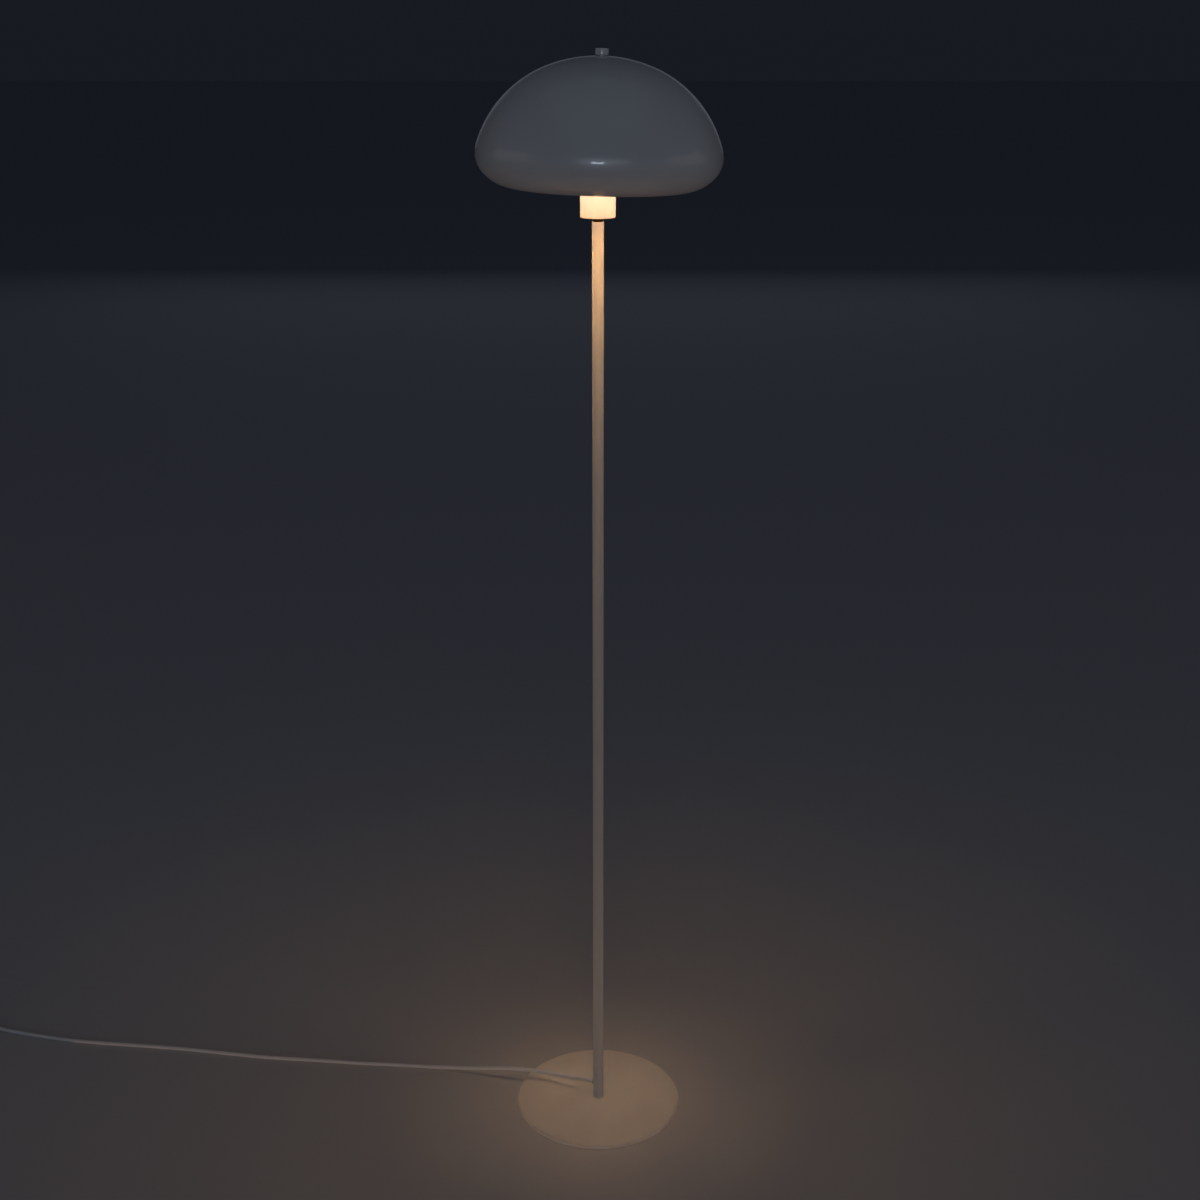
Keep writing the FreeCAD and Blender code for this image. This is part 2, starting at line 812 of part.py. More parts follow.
def switch_cover():
    case = switch_block(0).cut(switch_block(switch_wall)).cut(cord_ways())
    case = case.common(ring(switch_length, 0, switch_split, switch_height))
    case = case.cut(button_shape(turn_gap, switch_split, switch_height + 1))
    for place in case_screw_places():
        post = ring(case_screw_head, case_screw_radius + fit_gap, switch_split,
                    switch_height - switch_wall)
        post.translate(place)
        case = case.fuse(post.common(switch_block(switch_wall / 2)))
    return in_place(case)


def switch_screws():
    screws = []
    low = switch_feet_height
    for place in case_screw_places():
        screw = ring(case_screw_radius, 0, low, switch_split + case_screw_bite)
        head = ring(case_screw_head, 0, low, low + case_screw_head_height)
        screw = screw.fuse(head).removeSplitter()
        screw.translate(place)
        screws.append(in_place(screw))
    return screws


def switch_feet():
    feet = []
    for x in (-switch_foot_x, switch_foot_x):
        for y in (-switch_foot_y, switch_foot_y):
            foot = ring(switch_foot_radius, 0, 0, switch_feet_height)
            foot.translate(V(x, y, 0))
            feet.append(in_place(foot))
    return feet


def switch_core():
    low = switch_feet_height + switch_wall
    block = Part.makeBox(core_length, core_width, core_height, V(-core_length / 2, -core_width / 2, low))
    plunger = ring(core_plunger, 0, low, button_bottom() - button_travel - turn_gap)
    return in_place(block.fuse(plunger).removeSplitter())


def button_bottom():
    return switch_height - switch_wall - button_skirt


def switch_button():
    """An oval push button with a rounded top and a skirt that stays behind the cover."""
    high = switch_height + button_proud
    stem = button_shape(0, button_bottom(), high)
    x = button_length / 2
    side = side_slab([(-x, button_bottom()), (x, button_bottom()), (x, high, button_round),
                      (-x, high, button_round)], button_width)
    return in_place(stem.common(side))


def boot(length, thick, thin, axis_height):
    """A tapered sleeve along +X from the origin, thick end first, bored for the cord."""
    body = Part.makeCone(thick, thin, length, V(0, 0, axis_height), V(1, 0, 0))
    return body.cut(Part.makeCylinder(cord_radius + fit_gap, length, V(0, 0, axis_height), V(1, 0, 0)))


def switch_boots():
    height = switch_axis_height - floor_gap
    out = boot(boot_length, cord_radius + boot_wall, cord_radius + boot_tip_wall, height)
    out.translate(V(switch_length / 2, 0, 0))
    back = out.copy()
    back.rotate(V(0, 0, 0), UP, 180)
    return [in_place(back), in_place(out)]


# ---- coil, tail and plug ------------------------------------------------------------------------

coil_sweep = 2 * math.pi * coil_turns
coil_pitch = 2 * cord_radius + coil_turn_gap
coil_layer = 2 * cord_radius + coil_layer_gap
coil_start = V(*route_to_coil[-1])
coil_start_way = coil_start - V(*route_to_coil[-2])


def coil_radius(turned_by):
    off_middle = turned_by - coil_sweep / 2
    return coil_least_radius + coil_pitch / (2 * math.pi) * math.hypot(off_middle, coil_ease)


def coil_rise(turned_by):
    share = min(max((turned_by - coil_sweep / 2) / math.pi + 0.5, 0), 1)
    return wound + coil_layer * share * share * (3 - 2 * share)


coil_start_radius = coil_radius(0)
coil_slope = (coil_radius(0) - coil_radius(1e-5)) / 1e-5 / coil_start_radius
coil_first_angle = (math.atan2(coil_start_way.y, coil_start_way.x) - math.pi / 2
                    - math.atan(coil_slope))


def coil_offset(turned_by):
    angle = coil_first_angle + turned_by
    radius = coil_radius(turned_by)
    return V(radius * math.cos(angle), radius * math.sin(angle), coil_rise(turned_by))


def coil_way(turned_by):
    step = 1e-5
    way = coil_offset(turned_by + step) - coil_offset(turned_by - step)
    way.normalize()
    return way


coil_in_way = coil_start_way.normalize()
coil_out_way = coil_way(coil_sweep)
coil_middle = coil_start + coil_in_way * (2 * cord_radius) - coil_offset(0)
coil_middle.z = 0


def coil_point(turned_by):
    return coil_middle + coil_offset(turned_by)


coil_lead_out = coil_point(coil_sweep) + coil_out_way * (2 * cord_radius)


def cord_coil():
    """One unbroken tube: a biarc for each quarter turn, with a straight diameter at both ends."""
    quarters = round(coil_turns * 4)
    edges = [Part.LineSegment(coil_start, coil_point(0)).toShape()]
    ways = [coil_way(k * math.pi / 2) for k in range(quarters + 1)]
    ways[0] = coil_in_way
    ways[-1] = coil_out_way
    for k in range(quarters):
        edges += biarc(coil_point(k * math.pi / 2), ways[k],
                       coil_point((k + 1) * math.pi / 2), ways[k + 1])
    edges.append(Part.LineSegment(coil_point(coil_sweep), coil_lead_out).toShape())
    wire = Part.Wire(edges)
    print("cord_coil length", round(wire.Length, 1), "least gap to itself", coil_gap())
    solid = swept(edges, coil_start, coil_in_way, cord_radius)
    print("cord_coil volume over section times length",
          round(solid.Volume / (math.pi * cord_radius**2 * wire.Length), 5))
    return solid


def coil_gap():
    """The least gap between the tube and itself, over half a turn apart, on points."""
    steps = round(coil_turns * 72)
    line = [coil_point(coil_sweep * k / steps) for k in range(steps + 1)]
    apart = round(steps / coil_turns / 2)
    least = min((line[a] - line[b]).Length
                for a in range(len(line)) for b in range(a + apart, len(line)))
    return round(least - 2 * cord_radius, 3)


def cord_to_coil():
    """A short lead out of the switch, down to the coil's height and round into its first turn."""
    corner = second_start + switch_way * boot_run
    return routed("cord_to_coil", [second_start, corner] + route_to_coil, cord_radius)


def coil_tie():
    """A soft strap round the turns, at one side of the coil."""
    inner = coil_radius(coil_sweep / 2) - cord_radius - turn_gap
    outer = coil_start_radius + cord_radius + turn_gap
    low = wound - cord_radius - turn_gap
    high = wound + coil_layer + cord_radius + turn_gap
    soft = cord_radius
    t = tie_thickness
    hole = side_slab([(inner, low, soft), (outer, low, soft), (outer, high, soft),
                      (inner, high, soft)], tie_width / 2)
    skin = side_slab([(inner - t, low - t, soft + t), (outer + t, low - t, soft + t),
                      (outer + t, high + t, soft + t), (inner - t, high + t, soft + t)],
                     tie_width / 2)
    return placed(skin.cut(hole), coil_middle, tie_angle)


plug_axis_height = plug_height / 2 + floor_gap
coil_out_heading = math.degrees(math.atan2(coil_out_way.y, coil_out_way.x))


def tail_points():
    """Level off the coil, down to the plug's height, then along, turning a little."""
    heights = [coil_lead_out.z, plug_axis_height, plug_axis_height, plug_axis_height]
    points = [coil_lead_out]
    for k, run in enumerate(tail_runs):
        heading = math.radians(coil_out_heading + max(k - 1, 0) * tail_turn)
        step = V(run * math.cos(heading), run * math.sin(heading), heights[k] - points[-1].z)
        points.append(points[-1] + step)
    return points


tail_end = tail_points()[-1]
tail_heading = coil_out_heading + (len(tail_runs) - 2) * tail_turn
tail_way = V(math.cos(math.radians(tail_heading)), math.sin(math.radians(tail_heading)), 0)
plug_start = tail_end - tail_way * plug_cord_depth
plug_corner_point = V(plug_start.x, plug_start.y, floor_gap)


def cord_to_plug():
    return routed("cord_to_plug", tail_points(), cord_radius)


def plug_body():
    """A flat two-pin plug moulded on the cord, with a tapered, grooved boot at its back."""
    half = plug_width / 2
    back = plug_back_width / 2
    start = plug_boot_length
    waist = start + plug_length * 0.5
    end = start + plug_length
    plan = slab([(start, -back, plug_edge), (waist, -half, plug_corner), (end, -half, plug_edge),
                 (end, half, plug_edge), (waist, half, plug_corner), (start, back, plug_edge)],
                0, plug_height)
    full = start + plug_length * 0.4
    side = side_slab([(start, plug_edge, 1), (full, 0, plug_round), (end, 0, plug_edge),
                      (end, plug_height, plug_edge), (full, plug_height, plug_round),
                      (start, plug_height - plug_edge, 1)], plug_width)
    body = plan.common(side)
    middle = V(0, 0, plug_height / 2)
    along = V(1, 0, 0)
    thick = cord_radius + plug_boot_wall
    boot_cone = Part.makeCone(cord_radius + plug_boot_tip_wall, thick, start + 1, middle, along)
    step = plug_boot_length / (ring_count + 1)
    for k in range(ring_count):
        place = middle + along * ((k + 0.7) * step)
        groove = Part.makeCylinder(thick, step / 3, place, along)
        core = Part.makeCylinder(cord_radius + groove_wall, step / 3, place, along)
        boot_cone = boot_cone.cut(groove.cut(core))
    body = body.fuse(boot_cone).removeSplitter()
    body = body.cut(Part.makeCylinder(cord_radius + fit_gap, plug_cord_depth, middle, along))
    for y in (-pin_spacing / 2, pin_spacing / 2):
        body = body.cut(pin_piece(-pin_root, pin_root, pin_radius + fit_gap, y))
    return placed(body, plug_corner_point, tail_heading)


def pin_piece(start, length, radius, y):
    x = plug_boot_length + plug_length
    return Part.makeCylinder(radius, length, V(x + start, y, plug_height / 2), V(1, 0, 0))


def plug_pins():
    """Brass pins with rounded ends; a thinner neck carries the plastic sleeve."""
    pins = []
    front = plug_boot_length + plug_length
    for y in (-pin_spacing / 2, pin_spacing / 2):
        pin = pin_piece(-pin_root, pin_root + sleeve_length, pin_radius - sleeve_thickness, y)
        end = pin_piece(sleeve_length, pin_length - sleeve_length - pin_radius, pin_radius, y)
        tip = Part.makeSphere(pin_radius, V(front + pin_length - pin_radius, y, plug_height / 2))
        pin = pin.fuse([end, tip]).removeSplitter()
        pins.append(placed(pin, plug_corner_point, tail_heading))
    return pins


def plug_sleeves():
    sleeves = []
    for y in (-pin_spacing / 2, pin_spacing / 2):
        tube = pin_piece(-pin_root, pin_root + sleeve_length, pin_radius, y)
        bore = pin_radius - sleeve_thickness + fit_gap
        tube = tube.cut(pin_piece(-pin_root, pin_root + sleeve_length, bore, y))
        sleeves.append(placed(tube, plug_corner_point, tail_heading))
    return sleeves


# ---- the whole lamp -----------------------------------------------------------------------------

PIECES = [
    base_foam, base_plate, base_screw, pole_foot, pole_tube, cord_grommet, pole_wires, pole_neck,
    hollow_nipple, glass_gaskets, diffuser_glass, glass_washer, glass_nut, swivel_cup, swivel_ring,
    swivel_ball, carrier_frame, carrier_nut, lamp_holder, holder_core, middle_contact,
    holder_sleeve, holder_leads, bulb_cap, bulb_globe, carrier_stud, shade_seat, shade,
    finial_knob, cord_to_switch, switch_base, switch_cover, switch_screws, switch_feet,
    switch_core, switch_button, switch_boots, cord_to_coil, cord_coil, coil_tie, cord_to_plug,
    plug_body, plug_pins, plug_sleeves,
]

os.makedirs("parts", exist_ok=True)
for piece in PIECES:
    made = piece()
    solids = made if isinstance(made, list) else made.Solids
    for solid in solids:
        if not solid.isValid() or solid.Volume <= 0:
            print("NOT SOUND:", piece.__name__)
    whole = solids[0] if len(solids) == 1 else Part.makeCompound(solids)
    whole.exportStep(f"parts/{piece.__name__}.step")
    print(piece.__name__, len(solids), "solid(s)", round(whole.Volume), "mm3")
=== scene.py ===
import math

import bpy
import numpy as np
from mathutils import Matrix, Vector


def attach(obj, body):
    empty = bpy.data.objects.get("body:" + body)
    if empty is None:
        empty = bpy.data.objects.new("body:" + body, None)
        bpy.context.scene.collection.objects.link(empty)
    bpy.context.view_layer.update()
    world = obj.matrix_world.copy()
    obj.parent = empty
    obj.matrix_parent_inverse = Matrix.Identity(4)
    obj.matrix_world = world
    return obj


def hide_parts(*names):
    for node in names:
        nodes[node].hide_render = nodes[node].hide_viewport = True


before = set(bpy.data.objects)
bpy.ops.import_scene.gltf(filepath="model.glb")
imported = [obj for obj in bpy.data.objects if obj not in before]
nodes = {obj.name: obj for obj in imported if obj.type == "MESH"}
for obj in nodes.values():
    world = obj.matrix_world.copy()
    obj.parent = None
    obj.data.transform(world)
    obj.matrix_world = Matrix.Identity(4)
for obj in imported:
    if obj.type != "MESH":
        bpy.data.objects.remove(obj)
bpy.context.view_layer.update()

# ---- Base ----------------------------------------------------------------------------------------
# A 6 mm disc cut from steel plate, its edges turned round, powder coated in a soft white; its cream
# cast is partly painted warm lamp light. A black foam disc is glued under it, and a countersunk screw
# goes up through its middle into the pole.

base_bottom, base_top = 0.0015, 0.0075
base_radius = 0.120
base_top_round, base_bottom_round = 0.0012, 0.0006
base_screw_hole = 0.0044


def eased(corners, steps=7):
    """A profile through corners (radius, height, rounding): each rounded corner becomes the arc that
    touches both its runs, drawn with points at equal turns. The arc's middle lies on the corner's
    bisector, rounding / sin(half the corner's angle) away."""
    points = [np.array(c[:2], float) for c in corners]
    line = []
    for k, here in enumerate(points):
        rounding = corners[k][2] if len(corners[k]) > 2 else 0
        if not rounding:
            line.append(here[None])
            continue
        back = points[k - 1] - here
        ahead = points[(k + 1) % len(points)] - here
        back, ahead = back / np.hypot(*back), ahead / np.hypot(*ahead)
        half = math.acos(np.clip(back @ ahead, -1, 1)) / 2
        middle = here + (back + ahead) / np.hypot(*(back + ahead)) * rounding / math.sin(half)
        touch = rounding / math.tan(half)
        spokes = np.array([here + back * touch, here + ahead * touch]) - middle
        start = math.atan2(spokes[0][1], spokes[0][0])
        sweep = (math.atan2(spokes[1][1], spokes[1][0]) - start + math.pi) % (2 * math.pi) - math.pi
        turn = start + sweep * np.linspace(0, 1, steps)
        line.append(middle + rounding * np.stack([np.cos(turn), np.sin(turn)], 1))
    return np.concatenate(line)


def shell(name, points, faces, smooth_below=32):
    """A mesh object at the origin with these points and faces. Faces meet smoothly where they turn
    by less than smooth_below degrees."""
    mesh = bpy.data.meshes.new(name)
    mesh.from_pydata(np.asarray(points).reshape(-1, 3).tolist(), [], [list(map(int, f)) for f in faces])
    mesh.validate()
    piece = bpy.data.objects.new(name, mesh)
    bpy.context.scene.collection.objects.link(piece)
    mesh.shade_smooth()
    mesh.set_sharp_from_angle(angle=math.radians(smooth_below))
    return piece


def turned(name, profile, around, closed=True):
    """A piece turned on a lathe: point (i, j) is profile point i, (radius, height), carried round Z
    to the angle 2 pi j / around. A closed profile makes a ring. An open one starts and ends on the
    axis, where its points meet in one, and it runs so that its outside is on its right."""
    profile = np.asarray(profile, float)
    angle = 2 * np.pi * np.arange(around) / around
    if closed:
        grid = np.stack([profile[:, :1] * np.cos(angle), profile[:, :1] * np.sin(angle),
                         np.repeat(profile[:, 1:], around, 1)], 2)
        rows = len(profile)
        i, j = np.meshgrid(np.arange(rows), np.arange(around), indexing="ij")
        a, b = i * around + j, i * around + (j + 1) % around
        c, d = (i + 1) % rows * around + (j + 1) % around, (i + 1) % rows * around + j
        return shell(name, grid, np.stack([a, b, c, d], 2).reshape(-1, 4))
    ring = profile[1:-1]
    grid = np.stack([ring[:, :1] * np.cos(angle), ring[:, :1] * np.sin(angle),
                     np.repeat(ring[:, 1:], around, 1)], 2).reshape(-1, 3)
    ends = np.array([[0, 0, profile[0, 1]], [0, 0, profile[-1, 1]]])
    i, j = np.meshgrid(np.arange(len(ring) - 1), np.arange(around), indexing="ij")
    a, b = i * around + j, i * around + (j + 1) % around
    quads = np.stack([a, b, b + around, a + around], 2).reshape(-1, 4).tolist()
    last = (len(ring) - 1) * around
    turn = np.arange(around)
    after = (turn + 1) % around
    first_pole, last_pole = len(grid), len(grid) + 1
    fans = [np.stack([np.full(around, first_pole), after, turn], 1),
            np.stack([np.full(around, last_pole), last + turn, last + after], 1)]
    return shell(name, np.concatenate([grid, ends]), quads + np.concatenate(fans).tolist())


def finish(name, colour, roughness, **uniform):
    """A principled material with this colour and roughness; what uniform names is the same all over
    and is set on the shader's own sockets."""
    material = bpy.data.materials.new(name)
    material.use_nodes = True
    shader = material.node_tree.nodes["Principled BSDF"]
    shader.inputs["Base Color"].default_value = (*colour, 1)
    shader.inputs["Roughness"].default_value = roughness
    for socket, value in uniform.items():
        shader.inputs[socket.replace("_", " ")].default_value = value
    return material


def put(material, kind, settings=(), **inputs):
    """Adds a node of this kind: settings are (name, value) pairs of its own, and each input, named
    with _ for a space, takes a value or another node's output."""
    node = material.node_tree.nodes.new("ShaderNode" + kind)
    for key, value in dict(settings).items():
        setattr(node, key, value)
    for key, value in inputs.items():
        socket = node.inputs[key.replace("_", " ")]
        if isinstance(value, bpy.types.NodeSocket):
            material.node_tree.links.new(value, socket)
        else:
            socket.default_value = value
    return node


def wire(material, output, socket):
    """Joins a node's output to this socket of the material's shader."""
    material.node_tree.links.new(output, material.node_tree.nodes["Principled BSDF"].inputs[socket])


def place_of(material):
    """The point's place on its piece, in metres."""
    return put(material, "TexCoord").outputs["Object"]


def noise(material, scale, detail=3.0, roughness=0.55):
    """Noise with so many cells a metre, from 0 to 1 with its mean at 0.5."""
    return put(material, "TexNoise", Vector=place_of(material), Scale=scale, Detail=detail,
               Roughness=roughness).outputs[0]


def spread(material, value, low, high, from_low=0.3, from_high=0.7):
    """value between from_low and from_high, spread over low to high."""
    return put(material, "MapRange", Value=value, From_Min=from_low, From_Max=from_high, To_Min=low,
               To_Max=high).outputs[0]


def tinted(material, value, *stops):
    """A colour ramp over value: stops are (position, colour)."""
    ramp = put(material, "ValToRGB", Fac=value)
    bar = ramp.color_ramp.elements
    while len(bar) < len(stops):
        bar.new(0.5)
    for stop, (position, colour) in zip(bar, stops):
        stop.position = position
        stop.color = (*colour, 1)
    return ramp.outputs[0]


def dented(material, height, depth, strength=1.0, over=None):
    """A bump of this depth in metres from a height map, over another bump where there is one."""
    inputs = {"Normal": over} if over else {}
    return put(material, "Bump", Height=height, Distance=depth, Strength=strength, **inputs).outputs[0]


def wear_body(piece, body, *replaced, slot):
    """The piece moves with this body and stands in for the replaced CAD nodes; slot is not used."""
    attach(piece, body)
    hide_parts(*replaced)


def coat(piece, material):
    """The piece has this one material all over."""
    piece.data.materials.clear()
    piece.data.materials.append(material)


# The powder coat's cream cast is partly its own colour and partly painted warm light from the lamp.
powder_cream_and_lamp_warmth, powder_dull, powder_clean = (0.82, 0.77, 0.70), (0.805, 0.755, 0.685), (0.835, 0.785, 0.715)


def powder_coat(name):
    """Satin powder coat: a fine pebbled skin, a little duller or cleaner in patches. Its cream tint is
    partly the coat's own colour and partly painted warm light from the lamp.
    """
    paint = finish(name, powder_cream_and_lamp_warmth, 0.45, IOR=1.5)
    patches = noise(paint, 9, 2)
    grain = noise(paint, 1500, 2, 0.6)
    wire(paint, tinted(paint, patches, (0.3, powder_dull), (0.7, powder_clean)), "Base Color")
    wire(paint, spread(paint, grain, 0.38, 0.52), "Roughness")
    wire(paint, dented(paint, grain, 0.00004, 0.5), "Normal")
    return paint


base = turned("base_disc", eased([
    (base_screw_hole, base_bottom), (base_radius, base_bottom, base_bottom_round),
    (base_radius, base_top, base_top_round), (base_screw_hole, base_top)]), around=256)
coat(base, powder_coat("base_powder_coat"))
wear_body(base, "stand", "base_plate", slot="white_paint")


def recoat(node, material):
    """Gives every material slot of a CAD node this material."""
    piece = nodes[node]
    for surface in piece.material_slots:
        surface.material = material
    return piece


foam = finish("foam_sheet", (0.015, 0.015, 0.016), 0.95)
cells = noise(foam, 900, 2, 0.6)
wire(foam, tinted(foam, cells, (0.35, (0.009, 0.009, 0.010)), (0.7, (0.024, 0.024, 0.026))), "Base Color")
wire(foam, dented(foam, cells, 0.0003), "Normal")
recoat("base_foam", foam)

zinc = finish("zinc_plate", (0.55, 0.56, 0.58), 0.32, Metallic=1.0)
spangle = noise(zinc, 260, 3, 0.6)
wire(zinc, tinted(zinc, spangle, (0.3, (0.47, 0.48, 0.50)), (0.7, (0.64, 0.645, 0.655))), "Base Color")
wire(zinc, spread(zinc, spangle, 0.24, 0.42), "Roughness")
wire(zinc, dented(zinc, spangle, 0.00003), "Normal")
recoat("base_screw", zinc)

# ---- Pole ----------------------------------------------------------------------------------------
# One straight steel tube, 15 mm across, powder coated as the base. A threaded plug in its foot takes
# the base's screw. The cord enters through a rubber grommet low on its back left side.

pole_radius, pole_bore = 0.0075, 0.0063
pole_top = 1.2945
pole_edge = 0.0003

pole = turned("pole", eased([
    (pole_bore, base_top), (pole_radius, base_top, pole_edge), (pole_radius, pole_top, pole_edge),
    (pole_bore, pole_top)], 4), around=96)
coat(pole, powder_coat("pole_powder_coat"))
wear_body(pole, "stand", "pole_tube", slot="white_paint")

grommet_rubber = finish("grommet_rubber", (0.62, 0.61, 0.59), 0.6)
rubber_grain = noise(grommet_rubber, 1800, 2)
wire(grommet_rubber, spread(grommet_rubber, rubber_grain, 0.5, 0.68), "Roughness")
wire(grommet_rubber, dented(grommet_rubber, rubber_grain, 0.00004), "Normal")
recoat("cord_grommet", grommet_rubber)
recoat("pole_foot", zinc)

# ---- Glass ---------------------------------------------------------------------------------------
# A blown cylinder of opal glass, 44.5 mm across, open at its top and drilled in its floor. It stands
# on a dark turned neck in the pole's top and is held down by a nut on a hollow nipple.

neck_bottom, neck_top = 1.2945, 1.2992
neck_radius, neck_bore = 0.0067, 0.0051
neck = turned("neck", eased([
    (neck_bore, neck_bottom), (neck_radius, neck_bottom, 0.0002), (neck_radius, neck_top, 0.0004),
    (neck_bore, neck_top)], 4), around=96)
dark_steel = finish("dark_steel", (0.035, 0.020, 0.008), 0.35, Metallic=1.0)
turning = put(dark_steel, "TexWave", (("bands_direction", "Z"),), Vector=place_of(dark_steel), Scale=900,
              Distortion=0.6, Detail=2.0).outputs[1]
wire(dark_steel, spread(dark_steel, turning, 0.28, 0.42, 0, 1), "Roughness")
wire(dark_steel, dented(dark_steel, turning, 0.00003), "Normal")
coat(neck, dark_steel)
wear_body(neck, "stand", "pole_neck", slot="dark_steel")

glass_bottom, glass_floor, glass_top = 1.3000, 1.3035, 1.4280
glass_radius, glass_bore, glass_hole = 0.02225, 0.02025, 0.0053
glass_edge, glass_inner_round = 0.0009, 0.0015
glass = turned("glass", eased([
    (glass_hole, glass_bottom), (glass_radius, glass_bottom, glass_edge),
    (glass_radius, glass_top, glass_edge), (glass_bore, glass_top, glass_edge),
    (glass_bore, glass_floor, glass_inner_round), (glass_hole, glass_floor)], 8), around=160)
opal = finish("opal_glass", (0.86, 0.84, 0.80), 0.16, IOR=1.5, Emission_Strength=0.74)
height = put(opal, "SeparateXYZ", Vector=place_of(opal)).outputs[2]
lit_height = spread(opal, height, 0, 1, glass_bottom, glass_top)
wire(opal, tinted(opal, lit_height, (0.0, (1.0, 0.52, 0.26)), (0.07, (1.0, 0.64, 0.36)),
                  (0.16, (1.0, 0.715, 0.46)), (0.3, (1.0, 0.73, 0.50))), "Emission Color")
ripple = noise(opal, 60, 2)
wire(opal, spread(opal, ripple, 0.12, 0.2), "Roughness")
wire(opal, dented(opal, ripple, 0.0002, 0.3), "Normal")
coat(glass, opal)
wear_body(glass, "stand", "diffuser_glass", slot="opal_glass")

silicone = finish("silicone", (0.7, 0.69, 0.67), 0.5)
wire(silicone, dented(silicone, noise(silicone, 900), 0.00003), "Normal")
recoat("glass_gaskets", silicone)
for fastener in ("hollow_nipple", "glass_washer", "glass_nut", "swivel_cup", "swivel_ring", "swivel_ball",
                 "carrier_frame", "carrier_nut", "carrier_stud", "shade_seat"):
    recoat(fastener, zinc)

# ---- Bulb ----------------------------------------------------------------------------------------
# A slim tubular bulb of frosted glass with a brass cap. It screws into the brass sleeve of a moulded
# holder, which stands on the foot of the bent strip that carries the shade past the bulb. The cord's
# two cores come up the pole and through the ball swivel to the holder.

resin = finish("white_resin", (0.75, 0.74, 0.70), 0.4)
wire(resin, dented(resin, noise(resin, 700), 0.00003), "Normal")
for part in ("lamp_holder", "holder_core"):
    recoat(part, resin)
brass = finish("brass", (0.80, 0.60, 0.28), 0.3, Metallic=1.0)
wire(brass, spread(brass, noise(brass, 300), 0.22, 0.4), "Roughness")
for part in ("middle_contact", "holder_sleeve", "bulb_cap"):
    recoat(part, brass)
frosted = finish("frosted_bulb", (0.9, 0.87, 0.8), 0.3, Emission_Strength=1.0)
frosted.node_tree.nodes["Principled BSDF"].inputs["Emission Color"].default_value = (1, 0.85, 0.6, 1)
wire(frosted, spread(frosted, noise(frosted, 200), 0.26, 0.36), "Roughness")
recoat("bulb_globe", frosted)
core_blue = finish("core_sleeve", (0.05, 0.12, 0.4), 0.4)
wire(core_blue, spread(core_blue, noise(core_blue, 500), 0.34, 0.46), "Roughness")
recoat("pole_wires", core_blue)
recoat("holder_leads", core_blue)

# ---- Shade ---------------------------------------------------------------------------------------
# A dome spun from 0.8 mm steel sheet, its edge rolled inwards over a bead, lacquered in glossy white.
# The carrier's stud comes through a hole in its crown, and the shade leans 1.6 degrees with it.

pivot = np.array([0, 0, 1.3183])
lean = math.radians(1.6)
crown_height = 1.4928
shade_wall = 0.0008
rim_roll = 0.0016
shade_arcs = ((0.180, 22.0), (0.146, 51.4), (0.035, 58.2), (0.054, 48.4))
rolled_by = 299.2
stud_hole = 0.0034


def leaning(points):
    """Turns points about the pivot by the lean, from +Z towards +X."""
    away = np.asarray(points, float) - pivot
    x = away[..., 0] * math.cos(lean) + away[..., 2] * math.sin(lean)
    z = away[..., 2] * math.cos(lean) - away[..., 0] * math.sin(lean)
    return np.stack([x, away[..., 1], z], -1) + pivot


def lean_over(piece):
    """Leans all points of a piece."""
    mesh = piece.data
    points = np.empty(len(mesh.vertices) * 3)
    mesh.vertices.foreach_get("co", points)
    mesh.vertices.foreach_set("co", leaning(points.reshape(-1, 3)).ravel())
    mesh.update()


def dome_line(inset):
    """The dome's outline from the crown's middle outwards and down, moved inwards by inset: arcs that
    run into each other, each of its own radius and turn, with a point at about each degree."""
    here, heading, line = np.array([0, crown_height]), 0.0, []
    for radius, sweep in shade_arcs:
        centre = here - radius * np.array([math.sin(heading), math.cos(heading)])
        turn = heading + math.radians(sweep) * np.linspace(0, 1, int(sweep) + 2)
        line.append(centre + (radius - inset) * np.stack([np.sin(turn), np.cos(turn)], 1)[1:])
        heading = turn[-1]
        here = centre + radius * np.array([math.sin(heading), math.cos(heading)])
    return np.concatenate(line)


outside = dome_line(0)
inside = dome_line(shade_wall)
bead_middle = (outside[-1] + inside[-1]) / 2 + [0, rim_roll - shade_wall / 2]
bead_turn = np.radians(np.linspace(-90, -90 - rolled_by, 25)[1:])
bead = bead_middle + rim_roll * np.stack([np.cos(bead_turn), np.sin(bead_turn)], 1)
hole_edge = [[stud_hole, crown_height - shade_wall],
             [stud_hole, crown_height - stud_hole**2 / (2 * shade_arcs[0][0])]]
past_hole = stud_hole * 1.3
outer_line = outside[outside[:, 0] > past_hole]
inner_line = inside[inside[:, 0] > past_hole]
inner_line = inner_line[:-2]  # the last two points lie inside the bead
section = np.concatenate([hole_edge, outer_line, bead, inner_line[::-1]])
dome = turned("shade_dome", section[::-1], around=256)
lean_over(dome)


def lacquer(name):
    """Glossy white lacquer over sprayed primer: a hard clear top with orange peel, duller below."""
    paint = finish(name, (0.79, 0.79, 0.79), 0.38, Coat_Weight=0.55, Coat_Roughness=0.09, Coat_IOR=1.45)
    clouds = noise(paint, 7, 2)
    peel = noise(paint, 330, 2, 0.45)
    dust = noise(paint, 2400, 1)
    wire(paint, tinted(paint, clouds, (0.3, (0.775, 0.775, 0.78)), (0.7, (0.80, 0.80, 0.795))),
         "Base Color")
    wire(paint, spread(paint, dust, 0.33, 0.45), "Roughness")
    skin = dented(paint, peel, 0.00006, 0.35)
    wire(paint, dented(paint, dust, 0.000008, 0.4, skin), "Normal")
    wire(paint, skin, "Coat Normal")
    return paint


coat(dome, lacquer("shade_lacquer"))
wear_body(dome, "shade", "shade", slot="white_lacquer")

# ---- Knob ----------------------------------------------------------------------------------------
# A small turned knob, lacquered as the shade, with a narrower foot. It screws onto the stud and
# clamps the shade.

